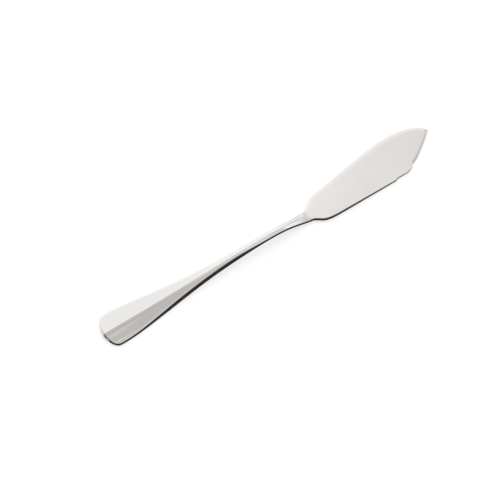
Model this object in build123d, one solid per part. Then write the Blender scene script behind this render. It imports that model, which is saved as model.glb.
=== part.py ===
from build123d import *
import os
from math import radians, tan

# A fish knife lying on a table: a thin, arched handle with a ridge along its top, and a leaf-shaped
# blade whose tang is brazed into a pocket in the handle's neck. Sizes are in millimetres.
# X runs from the handle's end to the tip, Y points to the cutting edge and Z points up. The knife is
# drawn from the seat, where the handle's ridge meets the blade, and then placed with its origin on
# the table, on the handle's axis and level with the heel of the blade.

# Handle, seen from above
handle_length = 120.5  # from its end to the seat of the blade
end_width = 19.0
end_bulge = 4.0  # of the shallow arc that closes the broad end
end_corner_radius = 4.5
taper_start = 8.0  # from the end to where the handle begins to narrow
waist_width = 4.6
waist_from_seat = 13.5  # back to where the narrowing is complete
taper_skew = 0.62  # below 1 the handle narrows early, then runs on as a slim shank
flare_from_seat = 14.5  # back to where the neck begins to widen

# Handle, seen from the side
arch_height = 3.25  # clear space under the arch
arch_rise_start = 6.0  # from the end to where the underside leaves the table
arch_top_from_seat = 14.0  # back to where the rise is complete
arch_fall_from_seat = 23.5  # back to where the neck begins to come down
arch_landing = 10.5  # past the seat, to where the underside is back on the table
rim_thickness_end = 1.7
rim_thickness_shank = 2.9
swell_start = 5.0  # from the end to where the rim begins to thicken
swell_end_from_seat = 25.0  # back to where the shank has its full thickness
ridge_rise_end = 0.9  # ridge above the rim
ridge_rise_shank = 0.5
rim_round = 0.7

# Raised root of the blade, its seat and its tang
root_length = 13.0  # from the seat to where the root has sunk into the blade
root_width = 8.0
root_crown = 0.4
root_sink = 0.42  # depth of the root's rim below the top of the blade, at its end
root_tuck = 0.05  # height of the root's underside above that of the blade
seat_angle = 25.0  # sweep of the two seat faces from square, in degrees
tang_length = 12.0
tang_width = 2.2
tang_thickness = 1.2
tang_clearance = 0.05  # brazing gap on every side of the tang

# Blade, seen from above. A pull is the length of a curve's handle, and slopes are in degrees.
blade_length = 83.8  # from the seat to the point that the tip is rounded from
throat_inset = 0.3  # the outline starts this far inside the side of the root
throat_slope = 8.0
throat_pull = 5.5
heel_from_seat = 13.0
heel_y = 9.25
heel_slope = 5.5
heel_pull = 7.0
belly_from_tip = 22.3  # back to the widest point
belly_y = 16.5
belly_pull_heel = 13.5
belly_pull_tip = 10.5
tip_y = 8.3
tip_slope = 59.0
tip_pull = 6.9
tip_round = 0.9
back_slope_tip = 39.0  # of the curved back, between the tip and the lobe
back_pull_tip = 14.0
back_slope_notch = 18.0
back_pull_notch = 3.0
notch_from_tip = 18.3  # back to the small notch between the back and the lobe
notch_y = -3.7
notch_size = 0.6
lobe_length = 11.1
lobe_round_length = 6.0  # over which the lobe curves up to the notch
step_depth = 0.7  # from the spine in to the lobe
step_length = 1.5
spine_end_y = -7.6
spine_heel_y = -7.85
spine_heel_from_seat = 19.5
spine_heel_pull = 12.0
crotch_from_seat = 4.0  # to the corner between the neck and the heel of the spine
crotch_slope = 26.5
crotch_pull = 5.8

# Blade, seen from the side
blade_thickness_heel = 2.2
blade_thickness_tip = 1.0
bevel_width = 2.2
bevel_drop = 0.45

handle_spacing = 9.0  # between the sections that the handle is lofted through
neck_spacing = 2.5  # the same, in the neck
overrun = 2.0  # by which cutting tools and hidden ends run past what they cut or join
steep = 0.9  # least upward part of a direction that counts as upright


def ease(x, start, stop, before, after, skew=1.0):
    t = min(max((x - start) / (stop - start), 0.0), 1.0) ** skew
    return before + (after - before) * t**3 * (10 - 15 * t + 6 * t * t)


def half_width(x):
    taper = ease(x, taper_start - handle_length, -waist_from_seat, end_width, waist_width, taper_skew)
    flare = ease(x, -flare_from_seat, root_length, 0, root_width - waist_width)
    return (taper + flare) / 2


def underside(x):
    rise = ease(x, arch_rise_start - handle_length, -arch_top_from_seat, 0, arch_height)
    return rise * ease(x, -arch_fall_from_seat, arch_landing, 1, 0)


def rim_height(x):
    swell_end = -swell_end_from_seat
    root_thickness = blade_thickness_heel - root_sink
    swell = ease(x, swell_start - handle_length, swell_end, rim_thickness_end, rim_thickness_shank)
    return underside(x) + swell + ease(x, swell_end, root_length, 0, root_thickness - rim_thickness_shank)


def ridge_rise(x):
    return ease(x, taper_start - handle_length, -swell_end_from_seat, ridge_rise_end, ridge_rise_shank)


def spread(start, stop, spacing):
    gaps = round((stop - start) / spacing)
    return [start + (stop - start) * i / gaps for i in range(gaps + 1)]


def across(x):
    return Plane(origin=(x, 0, 0), x_dir=(0, 1, 0), z_dir=(1, 0, 0))


def upright_edges(part):
    return [edge for edge in part.edges() if abs((edge % 0.5).Z) > steep]


def extruded(sketch):
    return extrude(sketch, end_width, both=True)


def behind_seat():
    back = -handle_length - overrun
    side = end_width
    front = side * tan(radians(seat_angle))
    plan = Polyline((back, -side), (front, -side), (0, 0), (front, side), (back, side), close=True)
    return extruded(make_face(plan))


# The tang follows the middle of the neck, and its pocket is the same form with the brazing gap added.
def tang_section(x, gap):
    middle = (underside(x) + rim_height(x)) / 2
    return across(x) * Pos(0, middle) * Rectangle(tang_width + 2 * gap, tang_thickness + 2 * gap)


def tang(gap=0.0):
    stations = spread(-tang_length - gap, overrun, neck_spacing)
    return loft([tang_section(x, gap) for x in stations])


# Handle: roof-shaped sections along the arch, a broad arched end and a rounded rim.
def handle_section(x):
    half = half_width(x)
    low = underside(x)
    rim = rim_height(x)
    roof = [(-half, low), (half, low), (half, rim), (0, rim + ridge_rise(x)), (-half, rim)]
    return across(x) * make_face(Polyline(*roof, close=True))


def end_plan():
    half = end_width / 2
    radius = (half**2 + end_bulge**2) / (2 * end_bulge)
    centre = radius - handle_length
    length = root_length - centre
    return Pos(centre, 0) * Circle(radius) + Pos(centre + length / 2, 0) * Rectangle(length, 2 * radius)


def handle():
    stations = spread(-handle_length - overrun, root_length, handle_spacing)
    body = loft([handle_section(x) for x in stations]) & extruded(end_plan())
    body = fillet([edge for edge in upright_edges(body) if edge.center().X < 0], end_corner_radius)
    walls = [face for face in body.faces() if abs(face.normal_at().Z) < steep and face.center().X < 0]
    rim = [edge for wall in walls for edge in wall.edges() if abs((edge % 0.5).Z) < steep]
    body = fillet(rim, rim_round)
    return (body & behind_seat()) - tang(tang_clearance)


# Blade: a flat leaf that thins to its tip, ground along its edge and its back, with a raised root.
def turned(start, length, slope):
    return Vector(start) + Vector(length, 0).rotate(Axis.Z, slope)


throat = Vector(0, half_width(0) - throat_inset)
heel = Vector(heel_from_seat, heel_y)
belly = Vector(blade_length - belly_from_tip, belly_y)
tip = Vector(blade_length, tip_y)
notch = Vector(blade_length - notch_from_tip, notch_y)
crotch = Vector(crotch_from_seat, -half_width(crotch_from_seat))


def cutting_edge():
    to_belly = [heel, turned(heel, heel_pull, heel_slope), belly - (belly_pull_heel, 0), belly]
    to_tip = [belly, belly + (belly_pull_tip, 0), turned(tip, -tip_pull, -tip_slope), tip]
    return [Bezier(*to_belly), Bezier(*to_tip)]


def back_edge():
    start = notch + (notch_size, 0)
    tip_handle = turned(tip, -back_pull_tip, back_slope_tip)
    return Bezier(tip, tip_handle, turned(start, back_pull_notch, back_slope_notch), start)


def spine_edge():
    lobe_y = spine_end_y + step_depth
    lobe_end = notch - (0, notch_size)
    lobe_bend = Vector(lobe_end.X - lobe_round_length, lobe_y)
    lobe_start = Vector(notch.X - lobe_length, lobe_y)
    spine_end = Vector(lobe_start.X - step_length, spine_end_y)
    spine_heel = Vector(spine_heel_from_seat, spine_heel_y)
    heel_handle = spine_heel + (spine_heel - spine_end).normalized() * spine_heel_pull
    cut = Polyline(notch + (notch_size, 0), notch, lobe_end)
    lobe = TangentArc(lobe_bend, lobe_end, tangent=(1, 0))
    straight = Polyline(lobe_bend, lobe_start, spine_end, spine_heel)
    flare = Bezier(spine_heel, heel_handle, turned(crotch, crotch_pull, -crotch_slope), crotch)
    return [*cut.edges(), lobe, *straight.edges(), flare]


def leaf_plan():
    throat_handle = turned(throat, throat_pull, throat_slope)
    shoulder = Bezier(throat, throat_handle, turned(heel, -heel_pull, heel_slope), heel)
    inside = turned(crotch, -overrun, -crotch_slope)
    neck = Polyline(crotch, inside, (-overrun, inside.Y), (-overrun, throat.Y), throat)
    return make_face([shoulder, *cutting_edge(), back_edge(), *spine_edge(), *neck.edges()])


def top_height(x):
    fall = (blade_thickness_heel - blade_thickness_tip) / (blade_length - heel_from_seat)
    return blade_thickness_heel - fall * (x - heel_from_seat)


def leaf_side():
    stations = spread(-overrun, arch_landing, neck_spacing)
    arch = Spline(*[(x, underside(x)) for x in stations])
    front = blade_length + overrun
    top = [(x, top_height(x)) for x in (front, -overrun)]
    rest = Polyline(arch @ 1, (front, 0), *top, arch @ 0)
    return Plane.XZ * make_face([arch, *rest.edges()])


def root_section(x):
    half = half_width(x)
    low = underside(x) + root_tuck
    rim = rim_height(x)
    sides = Polyline((-half, rim), (-half, low), (half, low), (half, rim))
    crown = ThreePointArc((half, rim), (0, rim + root_crown), (-half, rim))
    return across(x) * make_face([*sides.edges(), crown])


def ground(path):
    along = path % 0
    start = Plane(path @ 0, x_dir=(-along.Y, along.X, 0), z_dir=along)
    low = -(bevel_width + overrun) * bevel_drop / bevel_width
    wedge = [(-bevel_width, 0), (overrun, low), (overrun, overrun), (-bevel_width, overrun)]
    fall = top_height(1) - top_height(0)
    top = Plane((0, 0, top_height(0)), x_dir=(1, 0, fall), z_dir=(-fall, 0, 1))
    return top * sweep(start * make_face(Polyline(*wedge, close=True)), path)


def ground_edge():
    run_in = Line(turned(heel, -heel_pull, heel_slope), heel)
    run_out = Line(tip, turned(tip, tip_pull, -tip_slope))
    return ground(Wire([run_in, *cutting_edge(), run_out]))


def ground_back():
    back = back_edge()
    run_in = Line(tip - (back % 0) * tip_pull, tip)
    run_out = Line(back @ 1, (back @ 1) + (back % 1) * notch_size)
    return ground(Wire([run_in, back, run_out]))


def root():
    body = loft([root_section(x) for x in spread(-overrun, root_length, neck_spacing)])
    return fillet([edge for edge in body.edges() if abs((edge % 0.5).X) > steep], rim_round)


def blade():
    leaf = extruded(leaf_plan()) & extruded(leaf_side())
    point = [edge for edge in upright_edges(leaf) if edge.center().X > tip.X - tip_round]
    leaf = fillet(point, tip_round) - ground_edge() - ground_back()
    return leaf + root() - behind_seat() + tang()


os.makedirs("parts", exist_ok=True)
placed = Pos(-heel_from_seat, 0, 0)
export_step(placed * handle(), "parts/handle.step")
export_step(placed * blade(), "parts/blade.step")
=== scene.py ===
from math import cos, pi, radians, sin, tan

import bmesh
import bpy
import numpy as np
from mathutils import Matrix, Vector
from mathutils.geometry import delaunay_2d_cdt


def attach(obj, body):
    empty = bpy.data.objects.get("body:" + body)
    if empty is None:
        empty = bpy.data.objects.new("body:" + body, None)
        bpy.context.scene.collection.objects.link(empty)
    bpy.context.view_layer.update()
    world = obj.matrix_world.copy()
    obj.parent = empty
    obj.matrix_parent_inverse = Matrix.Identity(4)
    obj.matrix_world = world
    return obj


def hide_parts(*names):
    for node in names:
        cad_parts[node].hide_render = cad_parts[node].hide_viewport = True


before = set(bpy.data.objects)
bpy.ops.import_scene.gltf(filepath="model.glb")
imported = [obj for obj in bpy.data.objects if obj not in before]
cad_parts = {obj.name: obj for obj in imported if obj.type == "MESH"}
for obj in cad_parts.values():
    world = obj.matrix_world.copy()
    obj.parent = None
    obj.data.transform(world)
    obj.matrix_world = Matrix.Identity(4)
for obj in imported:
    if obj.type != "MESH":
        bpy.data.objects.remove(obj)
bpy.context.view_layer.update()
scene = bpy.context.scene
mm = 0.001  # sizes below are in millimetres, Blender's are in metres
print("frame loaded with", ", ".join(sorted(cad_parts)))


# Short calls for adding and joining nodes

class Field:  # a node socket that can stand in a sum
    def __init__(self, tree, socket):
        self.tree = tree
        self.socket = socket

    def calc(self, operation, *others):
        return mathNode(self.tree, operation, self, *others)

    def __add__(self, other):
        return self.calc("ADD", other)

    def __sub__(self, other):
        return self.calc("SUBTRACT", other)

    def __rsub__(self, other):
        return mathNode(self.tree, "SUBTRACT", other, self)

    def __mul__(self, other):
        return self.calc("MULTIPLY", other)

    def __truediv__(self, other):
        return self.calc("DIVIDE", other)

    def __neg__(self):
        return self * -1.0

    def __abs__(self):
        return self.calc("ABSOLUTE")

    __radd__ = __add__
    __rmul__ = __mul__


def feed(tree, socket, value):
    if isinstance(value, Field):
        value = value.socket
    if isinstance(value, bpy.types.NodeSocket):
        tree.links.new(value, socket)
    else:
        socket.default_value = value


def addNode(tree, kind, inputs=(), **settings):
    node = tree.nodes.new(kind)
    for name, value in settings.items():
        setattr(node, name, value)
    for key, value in dict(inputs).items():
        feed(tree, node.inputs[key], value)
    return node


def mathNode(tree, operation, *values):
    node = addNode(tree, "ShaderNodeMath", dict(enumerate(values)), operation=operation)
    return Field(tree, node.outputs[0])


def combine(tree, x, y, z):
    return addNode(tree, "ShaderNodeCombineXYZ", {"X": x, "Y": y, "Z": z}).outputs[0]


def separate(tree, place):
    return [Field(tree, output) for output in addNode(tree, "ShaderNodeSeparateXYZ", {0: place}).outputs]


def mixColours(tree, share, first, second):
    inputs = {0: share, 6: first, 7: second}  # by number: other inputs have the same names
    return addNode(tree, "ShaderNodeMix", inputs, data_type="RGBA").outputs[2]


# The knife's guides: widths and heights along its length, from the seat where the blade begins.
# Each works on plain numbers, and on node fields where the handle's tree uses it.

def ease(x, start, stop, before, after):
    if isinstance(x, Field):
        ends = {"Value": x, "From Min": start, "From Max": stop, "To Min": before, "To Max": after}
        node = addNode(x.tree, "ShaderNodeMapRange", ends, interpolation_type="SMOOTHERSTEP")
        return Field(x.tree, node.outputs["Result"])
    t = np.clip((x - start) / (stop - start), 0, 1)
    return before + (after - before) * t**3 * (10 - 15 * t + 6 * t * t)


def skewed(x, start, stop, skew):
    if isinstance(x, Field):
        ends = {"Value": x, "From Min": start, "From Max": stop}
        node = addNode(x.tree, "ShaderNodeMapRange", ends)
        return Field(x.tree, node.outputs["Result"]).calc("POWER", skew)
    return np.clip((x - start) / (stop - start), 0, 1) ** skew


def halfWidth(x, size):
    narrowing = skewed(x, size["taper start"] - size["length"], -size["waist from seat"], size["taper skew"])
    taper = ease(narrowing, 0.0, 1.0, size["end width"], size["waist width"])
    widening = size["root width"] - size["waist width"]
    flare = ease(x, -size["flare from seat"], size["root length"], 0.0, widening)
    return (taper + flare) * 0.5


def underside(x, size):
    start, top = size["arch start"] - size["length"], -size["arch top from seat"]
    rise = ease(x, start, top, 0.0, size["arch height"])
    return rise * ease(x, -size["arch fall from seat"], size["arch landing"], 1.0, 0.0)


def rimHeight(x, size):
    swellEnd = -size["swell end from seat"]
    swell = ease(x, size["swell start"] - size["length"], swellEnd, size["rim at end"], size["rim at shank"])
    thinning = ease(x, swellEnd, size["root length"], 0.0, size["rim at root"] - size["rim at shank"])
    return underside(x, size) + swell + thinning


def ridgeRise(x, size):
    start = size["taper start"] - size["length"]
    return ease(x, start, -size["swell end from seat"], size["ridge at end"], size["ridge at shank"])


def rimRun(x, size):
    start, full = size["taper start"] - size["length"], -size["full rim from seat"]
    swelling = ease(x, start, full, size["rim run at end"], size["rim run at shank"])
    thinning = size["rim run at seat"] - size["rim run at shank"]
    return swelling + ease(x, -size["thinning from seat"], -size["thin rim from seat"], 0.0, thinning)


# Rim of both pieces: a flank falls from the top face to an arris, and an undercut runs back below it.
# A turn of 1 is at the top face, 0 at the arris and -1 at the underside.

def flank(turn, size):  # shares of the flank's run and drop
    left = turn * turn
    gone = 1.0 - left
    inset = left * left + 2.0 * gone * left * size["flank bend in"]
    return inset, gone * gone + 2.0 * gone * left * size["flank bend down"]


def undercut(turn, depth, size):  # inset, and share of the depth below the arris
    gone = turn * turn
    fall = gone * (2.0 - gone)
    return depth * size["undercut slope"] * fall + size["under run"] * gone * gone, fall


def shadeSmooth(work, creases):  # turns all faces outwards and keeps these edges sharp
    bmesh.ops.recalc_face_normals(work, faces=work.faces)
    for face in work.faces:
        face.smooth = True
    for edge in creases:
        edge.smooth = False


# Handle: two sheets and the rounded rim between them, placed by one rule in a node tree

handle = {
    "seat x": -13.0,  # of the seat, in the frame
    "sizes": {
        "length": 120.5,
        "end width": 18.998,  # a hair under the solid's 19, and so is the ridge at the shank
        "end bulge": 4.0,
        "corner radius": 4.5,
        "taper start": 8.0,
        "waist width": 4.6,
        "waist from seat": 13.5,
        "flare from seat": 14.5,
        "root length": 13.0,
        "root width": 8.0,
        "arch height": 3.25,
        "arch start": 6.0,
        "arch top from seat": 14.0,
        "arch fall from seat": 23.5,
        "arch landing": 10.5,
        "rim at end": 1.7,
        "rim at shank": 2.9,
        "rim at root": 1.78,
        "swell start": 5.0,
        "swell end from seat": 25.0,
        "ridge at end": 0.9,
        "ridge at shank": 0.497,
        "ridge softness at end": 0.06,
        "ridge softness at seat": 0.3,
        "softening from seat": 40.0,
        "rim run at end": 0.8,  # how far the flank of the rim reaches inwards
        "rim run at shank": 1.45,
        "rim run at seat": 0.7,
        "full rim from seat": 72.0,
        "thinning from seat": 48.0,
        "thin rim from seat": 18.0,
        "under run": 0.35,
        "weld distance": 0.005,
    },
    "ratios": {
        "taper skew": 0.62,
        "seat slope": tan(radians(25.0)),
        "column gathering": 1.3,
        "facet hollow": 0.08,
        "crest power": 8.0,
        "flank drop": 1.12,  # share of its run
        "flank bend in": 0.5,  # where the flank bends, as shares of its run and drop
        "flank bend down": 0.45,
        "undercut slope": tan(radians(25.0)),
    },
    "counts": {"rows": 180, "columns": 61, "round steps": 6},
}


def storeMarks(tree, mesh, marks):
    for name, value in marks.items():
        inputs = {"Geometry": mesh, "Name": name, "Value": value}
        mesh = addNode(tree, "GeometryNodeStoreNamedAttribute", inputs, data_type="FLOAT").outputs[0]
    return mesh


def readMark(tree, name):
    node = addNode(tree, "GeometryNodeInputNamedAttribute", {"Name": name}, data_type="FLOAT")
    return Field(tree, node.outputs["Attribute"])


def flatGrid(tree, rows, columns):
    return addNode(tree, "GeometryNodeMeshGrid", {"Vertices X": rows, "Vertices Y": columns}).outputs[0]


def sheetGrids(tree, size):  # top, underside and rim as flat grids that know where they belong
    rows, columns, steps = size["rows"], size["columns"], size["round steps"]
    first, second = separate(tree, addNode(tree, "GeometryNodeInputPosition").outputs[0])[:2]
    first, second = first + 0.5, second + 0.5  # a grid is 1 wide, about its middle
    meshes = []
    for turn, under in ((1.0, 0.0), (-1.0, 1.0)):
        marks = {"along": first, "fan": second * 2.0 - 1.0, "turn": turn, "under": under, "edge": 0.0}
        meshes.append(storeMarks(tree, flatGrid(tree, rows, columns), marks))
    side = rows - 1.0
    across = columns - 1.0
    around = side * 2.0 + across
    step = (first * around).calc("ROUND")  # counted along one side, round the end and back
    level = (second * (steps * 2.0 + 1.0)).calc("ROUND")  # counted from the top down
    under = level.calc("GREATER_THAN", steps + 0.5)
    along = (1.0 - step / side).calc("MAXIMUM", (step - side - across) / side).calc("MAXIMUM", 0.0)
    fan = ((step - side) / across * 2.0 - 1.0).calc("MAXIMUM", -1.0).calc("MINIMUM", 1.0)
    turn = (steps + under - level) / steps
    marks = {"along": along, "fan": fan, "turn": turn, "under": under, "edge": 1.0 - abs(turn)}
    meshes.append(storeMarks(tree, flatGrid(tree, around + 1.0, steps * 2.0 + 2.0), marks))
    joined = addNode(tree, "GeometryNodeJoinGeometry")
    for mesh in meshes:
        tree.links.new(mesh, joined.inputs[0])
    return joined.outputs[0]


def handlePoint(tree, size):
    along, fan, turn, under = (readMark(tree, name) for name in ("along", "fan", "turn", "under"))
    half = size["end width"] * 0.5
    bulge = size["end bulge"]
    corner = size["corner radius"]
    radius = (half * half + bulge * bulge) / (bulge * 2.0)
    cornerStart = ((half - corner) / (radius - corner)).calc("ARCSINE")
    facing = fan.calc("SIGN") * abs(fan).calc("POWER", size["column gathering"]) * (pi / 2)
    onArc = facing.calc("MAXIMUM", -cornerStart).calc("MINIMUM", cornerStart)

    def endPoint(inset):  # on the outline of the broad end, which faces this way
        x = radius - size["length"] - (radius - corner) * onArc.calc("COSINE")
        x = x - (corner - inset) * facing.calc("COSINE")
        y = (radius - corner) * onArc.calc("SINE") + (corner - inset) * facing.calc("SINE")
        return x, y / (half - inset)

    def planPoint(inset):
        start, share = endPoint(inset)
        lean = abs(share) * size["seat slope"]
        neck = halfWidth(lean * halfWidth(start * 0.0, size), size)  # where this line meets the seat
        x = start + along * (lean * (neck - inset) - start)
        return x, share * (halfWidth(x, size) - inset)

    def roof(x, y):
        softening = -size["full rim from seat"], -size["softening from seat"]
        soft = ease(x, *softening, size["ridge softness at end"], size["ridge softness at seat"])
        fromRidge = (y * y + soft * soft).calc("SQRT") - soft
        level = 1.0 - fromRidge / halfWidth(x, size)
        crest = level.calc("POWER", size["crest power"]) - level  # the facets steepen towards the ridge
        return rimHeight(x, size) + ridgeRise(x, size) * (level + crest * size["facet hollow"])

    edgeX = planPoint(fan * 0.0)[0]  # on the outline, with no inset
    run = rimRun(edgeX, size)
    drop = run * size["flank drop"]
    arris = roof(*planPoint(run)) - drop
    flankInset, flankFall = flank(turn, size)
    underInset, underFall = undercut(turn, arris - underside(edgeX, size), size)
    x, y = planPoint(run * flankInset + under * (underInset - run * flankInset))
    top = arris + drop * (1.0 - flankFall)
    bottom = arris - (arris - underside(x, size)) * underFall
    return x + size["seat x"], y, top + under * (bottom - top)


def handleTree():
    tree = bpy.data.node_groups.new("handleForm", "GeometryNodeTree")
    tree.interface.new_socket("Geometry", in_out="OUTPUT", socket_type="NodeSocketGeometry")
    values = {"seat x": handle["seat x"] * mm}
    values.update({name: value * mm for name, value in handle["sizes"].items()})
    values.update(handle["ratios"])
    kinds = {name: "NodeSocketFloat" for name in values}
    kinds.update({name: "NodeSocketInt" for name in handle["counts"]})
    values.update(handle["counts"])
    identifiers = {}
    for name, value in values.items():
        socket = tree.interface.new_socket(name, in_out="INPUT", socket_type=kinds[name])
        identifiers[socket.identifier] = value
    material = tree.interface.new_socket("material", in_out="INPUT", socket_type="NodeSocketMaterial")
    inputs = tree.nodes.new("NodeGroupInput").outputs
    size = {name: Field(tree, inputs[name]) for name in values}
    mesh = sheetGrids(tree, size)
    for kind, more in (
        ("GeometryNodeSetPosition", {"Position": combine(tree, *handlePoint(tree, size))}),
        ("GeometryNodeMergeByDistance", {"Distance": size["weld distance"]}),
        ("GeometryNodeRealizeInstances", {}),
        ("GeometryNodeSetMaterial", {"Material": inputs["material"]}),
    ):
        mesh = addNode(tree, kind, {"Geometry": mesh, **more}).outputs[0]
    tree.links.new(mesh, tree.nodes.new("NodeGroupOutput").inputs[0])
    return tree, identifiers, material.identifier


def closeSeat(mesh):  # fills the open end in two flat faces
    work = bmesh.new()
    work.from_mesh(mesh)
    rim = [edge for edge in work.edges if edge.is_boundary]
    filled = bmesh.ops.holes_fill(work, edges=rim, sides=0)["faces"]
    corners = sorted((vert for face in filled for vert in face.verts), key=lambda vert: abs(vert.co.y))[:2]
    bmesh.ops.connect_verts(work, verts=corners)
    shadeSmooth(work, rim)
    work.to_mesh(mesh)
    work.free()


def makeHandle(material):
    tree, identifiers, materialInput = handleTree()
    piece = bpy.data.objects.new("handleBody", bpy.data.meshes.new("handleBlank"))
    scene.collection.objects.link(piece)
    modifier = piece.modifiers.new("handleForm", "NODES")
    modifier.node_group = tree
    for identifier, value in identifiers.items():
        modifier[identifier] = value
    modifier[materialInput] = material
    depsgraph = bpy.context.evaluated_depsgraph_get()
    mesh = bpy.data.meshes.new_from_object(piece.evaluated_get(depsgraph), depsgraph=depsgraph)
    piece.modifiers.remove(modifier)
    piece.data = mesh
    closeSeat(mesh)
    return piece


# Blade: a leaf with ground edges and a raised root, meshed from its outline inwards

blade = {
    # places of the outline are measured from the middle of the seat
    "throat inset": 0.3,
    "throat slope": 8.0,
    "throat pull": 5.5,
    "heel": (13.0, 9.25),
    "heel slope": 5.5,
    "heel pull": 7.0,
    "belly": (61.5, 16.5),
    "belly pulls": (13.5, 10.5),
    "tip": (83.8, 8.3),
    "tip slope": -59.0,
    "tip pull": 6.9,
    "tip round": 0.92,
    "back slopes": (18.0, 39.0),  # at the notch and at the tip
    "back pulls": (3.0, 14.0),
    "notch": (65.5, -3.7),
    "notch size": 0.6,
    "lobe start": (54.4, -6.9),
    "lobe bend": (59.5, -6.9),
    "spine end": (52.9, -7.6),
    "spine heel": (19.5, -7.85),
    "spine pull": 12.0,
    "crotch x": 4.0,
    "crotch slope": -26.5,
    "crotch pull": 5.8,
    "heel thickness": 2.2,
    "tip thickness": 1.0,
    "edge bevel": {"width": 3.0, "drop": 0.33, "fade in": (-1.0, 6.0)},  # fades in from the seat
    "back bevel": {"width": 1.8, "drop": 0.13, "fade in": (-0.3, 1.5)},  # and this one from the notch
    "root crown": 0.13,
    "root sink": (5.0, 12.0, 0.0, 2.5),  # where it runs out below the leaf, and by how much
    "leaf dip": 0.4,  # slope at which the leaf ends inside the root
    "seam softness": 0.1,  # where the root runs out into the leaf
    "rim start": (2.2, 5.5),  # between these the handle's rim turns into the blade's
    "edge places": (8.0, 20.0, 36.0, 50.0, 57.0, 64.0),
    "edge runs": (0.96, 0.83, 0.64, 0.5, 0.36, 0.2),  # reach inwards of the rim's flank at these places
    "notch room": (1.0, 6.0, 0.3, 1.0),  # distances from the notch, and the share of the undercut there
    "mesh": {
        "spacings": {
            "low side": 0.4,
            "flare": 0.5,
            "spine": 1.0,
            "step": 0.3,
            "lobe": 0.5,
            "lobe end": 0.3,
            "notch side": 0.2,
            "notch foot": 0.2,
            "back": 0.6,
            "tip": 0.15,
            "edge": 0.6,
            "draw": 0.6,
            "shoulder": 0.4,
            "high side": 0.3,
        },
        "curve points": 1500,  # of each curve, before it is spaced out
        "side points": 50,
        "line thinning": 4,  # for the lines that the bevels follow
        "seat passes": 30,
        "seat points": 19,
        "seat margin": 0.2,
        "round steps": 6,
        "first ring": 0.07,  # inside the rim
        "ring depths": (0.45, 0.7, 1.0, 1.35, 1.75, 2.2, 2.7, 3.3),
        "ring fit": 0.97,  # share of its depth that a point of a ring keeps from the outline
        "ring gap": 0.15,
        "neck end": 8.0,
        "neck grid": {"spacing": 0.4, "margin": 1.55},
        "leaf grid": {"spacing": 2.0, "margin": 4.2},
        "grid rows": 60,
        "weld distance": 1e-5,
    },
}
guides = {**handle["sizes"], **handle["ratios"]}


def stepFrom(point, distance, slope):
    return point[0] + distance * cos(radians(slope)), point[1] + distance * sin(radians(slope))


def bezier(*points):
    a, b, c, d = (np.array(point) for point in points)
    t = np.linspace(0, 1, blade["mesh"]["curve points"])[:, None]
    return a * (1 - t)**3 + b * 3 * t * (1 - t)**2 + c * 3 * t * t * (1 - t) + d * t**3


def bulged(start, stop, bulge):  # an arc that stands off its chord to the right
    start, stop = np.array(start), np.array(stop)
    chord = stop - start
    half = np.hypot(*chord) / 2
    radius = (half * half + bulge * bulge) / (2 * bulge)
    left = np.array((-chord[1], chord[0])) / (2 * half)
    centre = (start + stop) / 2 + left * (radius - bulge)
    return arcAbout(centre, start, stop)


def arcAbout(centre, start, stop):
    first = np.arctan2(*(start - centre)[::-1])
    sweep = (np.arctan2(*(stop - centre)[::-1]) - first) % (2 * pi)
    angles = first + sweep * np.linspace(0, 1, blade["mesh"]["curve points"])
    return centre + np.hypot(*(start - centre)) * np.column_stack((np.cos(angles), np.sin(angles)))


def respaced(points, spacing):
    points = np.array(points)
    lengths = np.concatenate(([0], np.cumsum(np.hypot(*np.diff(points, axis=0).T))))
    places = np.linspace(0, lengths[-1], max(1, round(lengths[-1] / spacing)) + 1)
    return np.column_stack([np.interp(places, lengths, column) for column in points.T])


def distanceTo(points, line):
    start, run = line[:-1], np.diff(line, axis=0)
    away = points[:, None] - start[None]
    share = np.clip((away * run).sum(2) / (run * run).sum(1), 0, 1)
    return np.sqrt(((away - share[..., None] * run) ** 2).sum(2).min(1))


def leftNormals(line):
    along = np.gradient(line, axis=0)
    return np.column_stack((-along[:, 1], along[:, 0])) / np.hypot(*along.T)[:, None]


def roundTip(back, edge, radius):  # back runs to the tip and edge away from it
    centres = edge + leftNormals(edge) * radius
    cut = np.argmax(distanceTo(centres, back) >= radius)
    other = np.argmin(np.hypot(*(back - centres[cut]).T))
    return back[:other], arcAbout(centres[cut], back[other], edge[cut]), edge[cut:]


def sideRun(start, stop, side):  # along a side of the neck, which carries on the handle's
    x = np.linspace(start, stop, blade["mesh"]["side points"])
    return np.column_stack((x, side * halfWidth(x, guides)))


def spineRuns(seat):  # from the seat to the notch
    crotch = (blade["crotch x"], -halfWidth(blade["crotch x"], guides))
    spineHeel, spineEnd = blade["spine heel"], blade["spine end"]
    spineRun = np.subtract(spineEnd, spineHeel) / np.hypot(*np.subtract(spineEnd, spineHeel))
    notch, size = blade["notch"], blade["notch size"]
    lobeEnd = (notch[0], notch[1] - size)
    chord = np.subtract(lobeEnd, blade["lobe bend"])
    lobeBulge = np.hypot(*chord) / 2 * tan(np.arctan2(chord[1], chord[0]) / 2)
    return {
        "low side": sideRun(seat, crotch[0], -1),
        "flare": bezier(crotch, stepFrom(crotch, blade["crotch pull"], blade["crotch slope"]),
                        spineHeel - spineRun * blade["spine pull"], spineHeel),
        "spine": (spineHeel, spineEnd),
        "step": (spineEnd, blade["lobe start"]),
        "lobe": (blade["lobe start"], blade["lobe bend"]),
        "lobe end": bulged(blade["lobe bend"], lobeEnd, lobeBulge),
        "notch side": (lobeEnd, notch),
        "notch foot": (notch, (notch[0] + size, notch[1])),
    }


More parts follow.
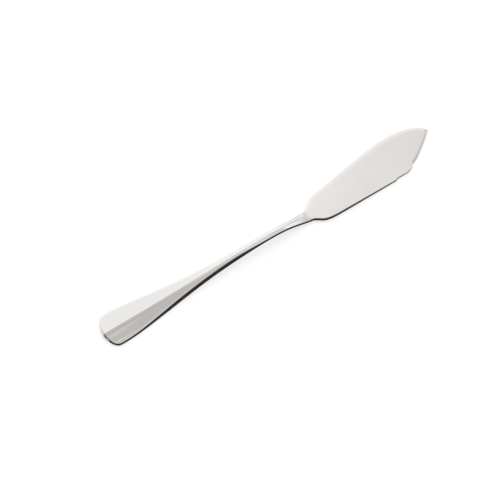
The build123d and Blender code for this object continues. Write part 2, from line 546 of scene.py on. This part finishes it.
def edgeRuns(seat, notchEnd):  # from the notch round the tip to the seat
    tip, belly, heel = blade["tip"], blade["belly"], blade["heel"]
    throat = (0.0, halfWidth(0.0, guides) - blade["throat inset"])
    back = bezier(notchEnd, stepFrom(notchEnd, blade["back pulls"][0], blade["back slopes"][0]),
                  stepFrom(tip, -blade["back pulls"][1], blade["back slopes"][1]), tip)
    edge = bezier(tip, stepFrom(tip, -blade["tip pull"], blade["tip slope"]),
                  (belly[0] + blade["belly pulls"][1], belly[1]), belly)
    back, tipRound, edge = roundTip(back, edge, blade["tip round"])
    draw = bezier(belly, (belly[0] - blade["belly pulls"][0], belly[1]),
                  stepFrom(heel, blade["heel pull"], blade["heel slope"]), heel)
    shoulder = bezier(heel, stepFrom(heel, -blade["heel pull"], blade["heel slope"]),
                      stepFrom(throat, blade["throat pull"], blade["throat slope"]), throat)
    shoulder = shoulder[shoulder[:, 1] > halfWidth(shoulder[:, 0], guides)]  # up to where it meets the neck
    return {
        "back": back,
        "tip": tipRound,
        "edge": edge,
        "draw": draw,
        "shoulder": shoulder,
        "high side": sideRun(shoulder[-1, 0], seat, 1),
    }


def bladeOutline():  # from the seat along the spine, round the tip and back along the edge
    seat = 0.0
    for turn in range(blade["mesh"]["seat passes"]):  # settles where the seat meets the sides
        seat = halfWidth(seat, guides) * guides["seat slope"]
    runs = spineRuns(seat)
    runs.update(edgeRuns(seat, runs["notch foot"][1]))
    spaced = [respaced(run, blade["mesh"]["spacings"][name]) for name, run in runs.items()]
    points = np.concatenate([run[:-1] for run in spaced] + [spaced[-1][-1:]])
    thinning = blade["mesh"]["line thinning"]
    edge = np.concatenate((runs["edge"], runs["draw"], runs["shoulder"]))
    return points, edge[::thinning], runs["back"][::thinning]


def insetOutline(outline, depth):
    steps = np.diff(outline, axis=0)
    steps /= np.hypot(*steps.T)[:, None]
    before, after = np.vstack((steps[:1], steps)), np.vstack((steps, steps[-1:]))
    left = np.column_stack((-(before + after)[:, 1], (before + after)[:, 0]))
    reach = 2 / (left ** 2).sum(1)  # longer at a corner
    points = outline + left * (reach * depth)[:, None]
    for end in (0, -1):  # the ends slide along the seat
        y = outline[end, 1] - np.sign(outline[end, 1]) * depth[end]
        points[end] = abs(y) * guides["seat slope"], y
    return points


def leafHeight(x, y, edge, back):
    fall = (blade["heel thickness"] - blade["tip thickness"]) / (blade["tip"][0] - blade["heel"][0])
    height = blade["heel thickness"] - fall * (x - blade["heel"][0])
    spots = np.column_stack((x, y))
    bevels = (edge, blade["edge bevel"], 0.0), (back, blade["back bevel"], blade["notch"][0])
    for line, bevel, origin in bevels:
        near = np.clip(1 - distanceTo(spots, line) / bevel["width"], 0, 1) ** 2
        height = height - bevel["drop"] * near * ease(x - origin, *bevel["fade in"], 0.0, 1.0)
    return height


def bladeTop(x, y, edge, back):
    throat = halfWidth(0.0, guides) - blade["throat inset"]
    run, rise = blade["crotch x"], throat + halfWidth(blade["crotch x"], guides)
    outside = ((throat - y) * run - x * rise) / np.hypot(run, rise)  # distance from the leaf
    leaf = leafHeight(x, y, edge, back) - blade["leaf dip"] * np.maximum(outside, 0)
    root = rimHeight(x, guides) + blade["root crown"] * (1 - (y / halfWidth(x, guides)) ** 2)
    root = root - ease(x, *blade["root sink"])
    return (leaf + root + np.sqrt((leaf - root) ** 2 + blade["seam softness"] ** 2)) / 2


def insideLoop(spots, loop):
    x, y = spots[:, 0][:, None], spots[:, 1][:, None]
    ax, ay = loop.T
    bx, by = np.roll(loop, -1, axis=0).T
    rise = np.where(by == ay, 1e-9, by - ay)  # a level side is never crossed
    crossed = ((ay > y) != (by > y)) & (x < (bx - ax) * (y - ay) / rise + ax)
    return crossed.sum(1) % 2 == 1


def sheetPoints(outline, insets, rim, seatLine):  # inside the rim: rings along it, and a plain grid
    neckEnd = blade["mesh"]["neck end"]
    found = [insetOutline(outline, insets + blade["mesh"]["first ring"])[1:-1]]
    for depth in blade["mesh"]["ring depths"]:
        ring = insetOutline(outline, np.full(len(outline), depth))
        clear = distanceTo(ring, outline) > blade["mesh"]["ring fit"] * depth
        clear &= (ring[:, 0] > neckEnd) & (depth > insets + blade["mesh"]["ring gap"])
        found.append(ring[clear])
    loop = np.concatenate((rim, seatLine))
    seat = np.vstack((rim[-1:], seatLine, rim[:1]))
    low, high = outline[:, 1].min(), outline[:, 1].max()
    rows = np.arange(-blade["mesh"]["grid rows"], blade["mesh"]["grid rows"] + 1)
    for grid, start, stop in (("neck grid", 0.0, neckEnd), ("leaf grid", neckEnd, blade["tip"][0])):
        spacing, margin = blade["mesh"][grid]["spacing"], blade["mesh"][grid]["margin"]
        xs, ys = np.meshgrid(np.arange(start, stop, spacing), spacing * rows)
        spots = np.column_stack((xs.ravel(), ys.ravel()))
        spots = spots[(spots[:, 1] > low) & (spots[:, 1] < high)]
        spots = spots[insideLoop(spots, loop)]
        clear = distanceTo(spots, outline) > margin
        clear &= distanceTo(spots, seat) > blade["mesh"]["seat margin"]
        found.append(spots[clear])
    return np.concatenate(found)


def makeSheet(outline, insets):  # places, faces, and which places lie on the rim and on the seat
    rim = insetOutline(outline, insets)
    seatY = np.linspace(rim[-1, 1], rim[0, 1], blade["mesh"]["seat points"])[1:-1]
    seatY[len(seatY) // 2] = 0.0  # the point of the V
    seatLine = np.column_stack((abs(seatY) * guides["seat slope"], seatY))
    border = np.concatenate((rim, seatLine))
    spots = np.concatenate((border, sheetPoints(outline, insets, rim, seatLine)))
    corners, loop = [Vector(spot) for spot in spots], list(range(len(border)))
    insideOnly = 1  # what the call makes: the faces within the loop
    flat = delaunay_2d_cdt(corners, [], [loop], insideOnly, blade["mesh"]["weld distance"])
    where = {old: new for new, olds in enumerate(flat[3]) for old in olds}
    onBorder = [where[index] for index in loop]
    return np.array([tuple(spot) for spot in flat[0]]), flat[2], onBorder[:len(rim)], onBorder[len(rim):]


def bladeRim(outline, edge, back):  # sizes of the flank and the undercut at each point of the outline
    x = outline[:, 0]
    runs = np.interp(x, blade["edge places"], blade["edge runs"])
    runs = ease(x, *blade["rim start"], guides["rim run at seat"], runs)
    drops = runs * guides["flank drop"]
    top = bladeTop(*insetOutline(outline, runs).T, edge, back)
    arris = top - drops
    depths = arris - underside(x, guides)
    room = ease(np.hypot(*(outline - blade["notch"]).T), *blade["notch room"])
    return {"runs": runs, "drops": drops, "top": top, "arris": arris, "depths": depths, "room": room}


def rimRow(outline, rim, turn):  # one line round the rim, and its heights
    if turn >= 0:
        inset, fall = flank(turn, guides)
        return insetOutline(outline, rim["runs"] * inset), rim["top"] - rim["drops"] * fall
    inset, fall = undercut(turn, rim["depths"], guides)
    row = insetOutline(outline, inset * rim["room"])
    return row, rim["arris"] - (rim["arris"] - underside(row[:, 0], guides)) * fall


def addPoints(work, x, y, z, mark):
    edgeMark = work.verts.layers.float["edge"]
    points = []
    for px, py, pz in zip(x, y, z):
        vert = work.verts.new(((px + handle["seat x"]) * mm, py * mm, pz * mm))
        vert[edgeMark] = mark
        points.append(vert)
    return points


def addSheet(work, outline, insets, heightAt):  # gives back its points on the rim and on the seat
    places, faces, rimSpots, seatSpots = makeSheet(outline, insets)
    verts = addPoints(work, *places.T, heightAt(*places.T), 0.0)
    for face in faces:
        work.faces.new([verts[index] for index in face])
    return [verts[index] for index in rimSpots], [verts[index] for index in seatSpots]


def addSeatFaces(work, rows, topSeat, underSeat):  # one each side of the middle
    middle = len(topSeat) // 2
    high = topSeat[:middle + 1][::-1] + [row[-1] for row in rows] + underSeat[:middle + 1]
    low = topSeat[middle:] + [row[0] for row in rows] + underSeat[middle:][::-1]
    return [work.faces.new(high), work.faces.new(low)]


def makeBlade(material):
    outline, edge, back = bladeOutline()
    rim = bladeRim(outline, edge, back)
    underInsets = undercut(-1.0, rim["depths"], guides)[0] * rim["room"]
    work = bmesh.new()
    work.verts.layers.float.new("edge")
    topRim, topSeat = addSheet(work, outline, rim["runs"], lambda x, y: bladeTop(x, y, edge, back))
    underRim, underSeat = addSheet(work, outline, underInsets, lambda x, y: underside(x, guides))
    rows = [topRim]
    steps = blade["mesh"]["round steps"]
    for step in range(1, 2 * steps):
        turn = 1 - step / steps
        row, heights = rimRow(outline, rim, turn)
        rows.append(addPoints(work, *row.T, heights, 1 - abs(turn)))
    rows.append(underRim)
    for upper, lower in zip(rows, rows[1:]):
        for index in range(len(upper) - 1):
            work.faces.new((upper[index], lower[index], lower[index + 1], upper[index + 1]))
    seatFaces = addSeatFaces(work, rows, topSeat, underSeat)
    shadeSmooth(work, [side for face in seatFaces for side in face.edges])
    mesh = bpy.data.meshes.new("bladeBody")
    work.to_mesh(mesh)
    work.free()
    mesh.materials.append(material)
    piece = bpy.data.objects.new("bladeBody", mesh)
    scene.collection.objects.link(piece)
    return piece


# Finish: steel with polishing lines, handling marks and worn edges, three effects that both metals share

effectShapes = {
    "lines": {"stretch": 30, "detail": 2},  # length over width, and octaves of the noise
    "streaks": {"stretch": 16, "detail": 1},
    "scratches": {"stretch": 40, "detail": 0, "turns": (23, -37, 68), "limits": (0.7, 0.78)},
    "smudges": {"detail": 3, "limits": (0.45, 0.75)},  # a mark fades in between these levels of the noise
    "wear": {"detail": 2, "limits": (0.3, 0.9), "raggedness": 0.6},
}


def newGroup(name, inputs, outputs):
    group = bpy.data.node_groups.new(name, "ShaderNodeTree")
    for label in inputs:
        kind = "NodeSocketVector" if label == "place" else "NodeSocketFloat"
        group.interface.new_socket(label, in_out="INPUT", socket_type=kind)
    for label in outputs:
        group.interface.new_socket(label, in_out="OUTPUT", socket_type="NodeSocketFloat")
    return group, group.nodes.new("NodeGroupInput").outputs, group.nodes.new("NodeGroupOutput").inputs


def noise(tree, place, scale, shape):
    inputs = {"Vector": place, "Scale": scale, "Detail": shape["detail"]}
    return Field(tree, addNode(tree, "ShaderNodeTexNoise", inputs).outputs[0])


def drawnOut(tree, place, shape, turn=0):  # a place for marks that are long in one direction
    inputs = {"Vector": place, "Rotation": (0, 0, radians(turn)), "Scale": (shape["stretch"], 1, 1)}
    return addNode(tree, "ShaderNodeMapping", inputs, vector_type="TEXTURE").outputs[0]


def polishingLines():
    inputs = ("place", "lines per m", "streaks per m")
    group, given, results = newGroup("polishingLines", inputs, ("lines", "streaks"))
    for name in ("lines", "streaks"):
        shape = effectShapes[name]
        pattern = noise(group, drawnOut(group, given["place"], shape), given[name + " per m"], shape)
        feed(group, results[name], pattern - 0.5)  # about nought
    return group


def handlingMarks():
    inputs = ("place", "smudges per m", "scratches per m")
    group, given, results = newGroup("handlingMarks", inputs, ("smudges", "scratches"))
    shape = effectShapes["smudges"]
    pattern = noise(group, given["place"], given["smudges per m"], shape)
    feed(group, results["smudges"], ease(pattern, *shape["limits"], 0.0, 1.0))
    scratches = 0.0
    shape = effectShapes["scratches"]
    for turn in shape["turns"]:
        pattern = noise(group, drawnOut(group, given["place"], shape, turn), given["scratches per m"], shape)
        scratches = ease(pattern, *shape["limits"], 0.0, 1.0) + scratches
    feed(group, results["scratches"], scratches)
    return group


def edgeWear():
    group, given, results = newGroup("edgeWear", ("place", "edge", "patches per m"), ("wear",))
    shape = effectShapes["wear"]
    patches = noise(group, given["place"], given["patches per m"], shape) - 0.5
    ragged = Field(group, given["edge"]) + patches * shape["raggedness"]
    feed(group, results["wear"], ease(ragged, *shape["limits"], 0.0, 1.0))
    return group


effects = {"polish": polishingLines(), "marks": handlingMarks(), "wear": edgeWear()}
steel = {  # what both finishes share
    "middle tone": 0.5,  # between the dark and the light one
    "line tone": 0.35,
    "smudge tone": 0.18,
    "wear tone": 0.2,
    "smudge roughness": 0.05,
    "wear shine": 0.3,  # share of the roughness that wear takes away
    "scratch depth": 1.5e-6,  # heights and depths are in metres
}
handleFinish = {
    **steel,
    "reach": (0.12, 0.0095, 0.004),  # along, across and round the rim, in metres
    "seed": 0.078,  # picks another run of streaks
    "streak tone": 1.1,
    "dark tone": (0.85, 0.828, 0.808, 1),
    "light tone": (0.925, 0.907, 0.892, 1),
    "polish": {"lines per m": 2600.0, "streaks per m": 420.0},
    "marks": {"smudges per m": 90.0, "scratches per m": 1500.0},
    "wear": {"patches per m": 260.0},
    "roughness": 0.11,
    "line roughness": 0.06,
    "line height": 1.5e-6,
    "streak height": 120e-6,
    "calming": 0.75,  # of these heights towards the narrow end of the marks
}
bladeFinish = {
    **steel,
    "dark tone": (0.88, 0.861, 0.843, 1),
    "light tone": (0.935, 0.916, 0.9, 1),
    "streak tone": 0.5,
    "polish": {"lines per m": 2200.0, "streaks per m": 260.0},
    "marks": {"smudges per m": 60.0, "scratches per m": 1200.0},
    "wear": {"patches per m": 220.0},
    "roughness": 0.16,
    "line roughness": 0.08,
    "line height": 1.0e-6,
    "streak height": 6e-6,
    "calming": 0.0,
}


def readAttribute(tree, name):
    node = addNode(tree, "ShaderNodeAttribute", attribute_type="GEOMETRY", attribute_name=name)
    return Field(tree, node.outputs["Fac"])


def handlePlace(tree):  # follows the taper, so that the lines run from the end into the neck
    along, fan, turn = (readAttribute(tree, name) for name in ("along", "fan", "turn"))
    length, width, height = handleFinish["reach"]
    return combine(tree, along * length, fan * width, turn * height + handleFinish["seed"])


def bladePlace(tree):
    return addNode(tree, "ShaderNodeTexCoord").outputs["Object"]


def makeSteel(name, finish, findPlace):
    material = bpy.data.materials.new(name)
    material.use_nodes = True
    tree = material.node_tree
    shader = tree.nodes["Principled BSDF"]
    shader.inputs["Metallic"].default_value = 1.0
    place = findPlace(tree)

    def effect(key, more=()):
        inputs = {"place": place, **finish[key], **dict(more)}
        outputs = addNode(tree, "ShaderNodeGroup", inputs, node_tree=effects[key]).outputs
        return [Field(tree, output) for output in outputs]

    lines, streaks = effect("polish")
    smudges, scratches = effect("marks")
    [wear] = effect("wear", {"edge": readAttribute(tree, "edge")})
    shade = streaks * finish["streak tone"] + lines * finish["line tone"] - smudges * finish["smudge tone"]
    shade = shade + wear * finish["wear tone"] + finish["middle tone"]
    tone = mixColours(tree, shade, finish["dark tone"], finish["light tone"])
    feed(tree, shader.inputs["Base Color"], tone)
    rough = lines * finish["line roughness"] + smudges * finish["smudge roughness"] + finish["roughness"]
    feed(tree, shader.inputs["Roughness"], rough * (1.0 - wear * finish["wear shine"]))
    height = lines * finish["line height"] + streaks * finish["streak height"]
    height = height - scratches * finish["scratch depth"]
    height = height * (1.0 - readAttribute(tree, "along") * finish["calming"])
    bump = addNode(tree, "ShaderNodeBump", {"Strength": 1.0, "Distance": 1.0, "Height": height})
    feed(tree, shader.inputs["Normal"], bump.outputs[0])
    return material


# Stage: camera, floor and light.
# An edge of the studio is a pair of x, y or z values of the direction, between which the light changes.

view = {
    "aim": (-45.32, 0.385, 0.104),  # the point at the middle of the picture
    "azimuth": -32.4,
    "elevation": 66.0,
    "distance": 1100.0,
    "nearest": 10.0,  # nothing closer to the camera is seen
    "lens": 154.36,
}
floor = {
    "reach": 4.0,  # in metres
    "shade": (0.32, 0.32, 0.32, 1),
    "lift": 0.69,  # brings the lit floor up to white
}
studio = {
    "dark": 0.03,  # of the black screen in front, which the knife's sides mirror
    "screen low": (0.0, 0.05),
    "screen high": (0.52, 0.68),
    "screen end": (0.5, 0.75),
    "screen foot": (0.16, 0.22),  # below this it runs on past its end
    "front fill": 0.3,  # round that screen
    "front fill edge": (-0.12, -0.26),
    "overhead": 0.52,
    "overhead edge": (-0.26, -0.12),
    "overhead tint": (1.0, 0.97, 0.945, 1.0),
    "left dim": 0.1,  # what is left of it on the left
    "left edge": (-0.5, -0.25),
    "bank": 0.4,  # the soft bank behind, over the overhead light
    "bank edge": (0.165, 0.305),
    "bank ends": ((0.278, 0.338, 0.0, 0.42), (0.35, 0.45, 0.0, 0.1)),  # where it grows dimmer, to the right
    "bank ends top": (0.38, 0.55),
    "bank tints": ((1.0, 1.0, 1.0, 1.0), (0.97, 1.015, 1.05, 1.0)),  # above and further down
    "bank tint edge": (0.38, 0.5),
    "low bank": 0.12,
    "low bank edge": (0.61, 0.69),
    "front panel": 0.26,
    "front panel edge": (0.06, -0.07),
    "side panel": 0.4,
    "side panel edge": (0.5, 0.62),
    "side panel front": (-0.2, -0.08),
    "side panel back": (0.09, 0.2),
    "panel gap": 0.4,  # a dark gap between the side panel and the bank
    "panel gap edge": (0.53, 0.58),
    "panel gap front": (0.36, 0.42),
    "panel gap back": (0.52, 0.6),
    "horizon": (0.03, 0.05),  # a white strip runs on from the floor up to here, on the left
    "horizon end": (-0.97, -0.9),
    "lamp from": (0.35, 0.25, 0.9),
    "lamp strength": 1.7,
    "lamp width": 60.0,
}


def makeCamera():
    turn, lift = radians(view["azimuth"]), radians(view["elevation"])
    away = Vector((sin(turn) * cos(lift), -cos(turn) * cos(lift), sin(lift)))
    camera = bpy.data.objects.new("camera", bpy.data.cameras.new("camera"))
    camera.data.lens = view["lens"]
    camera.data.clip_start = view["nearest"] * mm
    camera.location = (Vector(view["aim"]) + away * view["distance"]) * mm
    camera.rotation_euler = away.to_track_quat("Z", "Y").to_euler()
    scene.collection.objects.link(camera)
    scene.camera = camera


def makeFloor():
    mesh = bpy.data.meshes.new("floor")
    reach = floor["reach"]
    corners = [(-reach, -reach, 0), (reach, -reach, 0), (reach, reach, 0), (-reach, reach, 0)]
    mesh.from_pydata(corners, [], [(0, 1, 2, 3)])
    ground = bpy.data.objects.new("floor", mesh)
    paint = bpy.data.materials.new("paleFloor")
    paint.use_nodes = True
    tree = paint.node_tree
    shader = tree.nodes["Principled BSDF"]
    shader.inputs["Base Color"].default_value = floor["shade"]
    shader.inputs["Roughness"].default_value = 1.0
    shader.inputs["Specular IOR Level"].default_value = 0.0
    shader.inputs["Emission Color"].default_value = (1, 1, 1, 1)
    path = addNode(tree, "ShaderNodeLightPath").outputs
    seen = Field(tree, path["Is Camera Ray"]).calc("MAXIMUM", path["Is Glossy Ray"])
    seen = seen.calc("MAXIMUM", path["Is Transmission Ray"])
    feed(tree, shader.inputs["Emission Strength"], seen * floor["lift"])
    mesh.materials.append(paint)
    scene.collection.objects.link(ground)


def rising(value, name, level=1.0):
    return ease(value, *studio[name], 0.0, level)


def falling(value, name):
    return ease(value, *studio[name], 1.0, 0.0)


def makeWorld():
    world = bpy.data.worlds.new("studio")
    scene.world = world
    world.use_nodes = True
    tree = world.node_tree
    x, y, z = separate(tree, addNode(tree, "ShaderNodeTexCoord").outputs["Generated"])
    gap = rising(x, "panel gap edge", studio["panel gap"])
    gap = gap * rising(y, "panel gap front") * falling(y, "panel gap back")
    lit = rising(y, "overhead edge") * ease(x, *studio["left edge"], studio["left dim"], 1.0)
    overhead = lit * studio["overhead"] - gap
    screen = rising(z, "screen low") * falling(z, "screen high")
    screen = screen * falling(x, "screen end").calc("MAXIMUM", falling(z, "screen foot"))
    front = lit * rising(y, "front panel edge", studio["front panel"])
    front = front + rising(y, "front fill edge", studio["front fill"]) * (1.0 - screen)
    loss = sum(ease(x, *end) for end in studio["bank ends"])
    bank = rising(y, "bank edge", studio["bank"]) * (1.0 - loss * falling(y, "bank ends top"))
    bank = bank + rising(y, "low bank edge", studio["low bank"])
    panel = rising(x, "side panel edge", studio["side panel"])
    panel = panel * rising(y, "side panel front") * falling(y, "side panel back")
    horizon = falling(z, "horizon") * falling(x, "horizon end")
    others = (bank + front + panel + studio["dark"]) * (1.0 - horizon) + horizon
    cool = rising(y, "bank tint edge").calc("MAXIMUM", rising(x, "side panel edge"))
    tint = mixColours(tree, cool, *studio["bank tints"])
    warmInputs = {"Color": studio["overhead tint"], "Strength": overhead * (1.0 - horizon)}
    warm = addNode(tree, "ShaderNodeBackground", warmInputs)
    pale = addNode(tree, "ShaderNodeBackground", {"Color": tint, "Strength": others})
    both = addNode(tree, "ShaderNodeAddShader", {0: warm.outputs[0], 1: pale.outputs[0]})
    tree.links.new(both.outputs[0], tree.nodes["World Output"].inputs["Surface"])
    tree.nodes.remove(tree.nodes["Background"])  # the one that a new world comes with


def makeLamp():
    lamp = bpy.data.lights.new("lamp", "SUN")
    lamp.energy = studio["lamp strength"]
    lamp.angle = radians(studio["lamp width"])
    holder = bpy.data.objects.new("lamp", lamp)
    holder.rotation_euler = Vector(studio["lamp from"]).to_track_quat("Z", "Y").to_euler()
    holder.visible_glossy = False  # it lights the floor, and the steel mirrors the studio alone
    scene.collection.objects.link(holder)


scene.view_settings.view_transform = "Standard"
makeCamera()
makeFloor()
makeWorld()
makeLamp()
print("stage set")

body = makeHandle(makeSteel("handleSteel", handleFinish, handlePlace))
print("handle made:", len(body.data.vertices), "vertices,", len(body.data.polygons), "faces")
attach(body, "root")
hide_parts("handle")
leaf = makeBlade(makeSteel("bladeSteel", bladeFinish, bladePlace))
print("blade made:", len(leaf.data.vertices), "vertices,", len(leaf.data.polygons), "faces")
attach(leaf, "root")
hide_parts("blade")
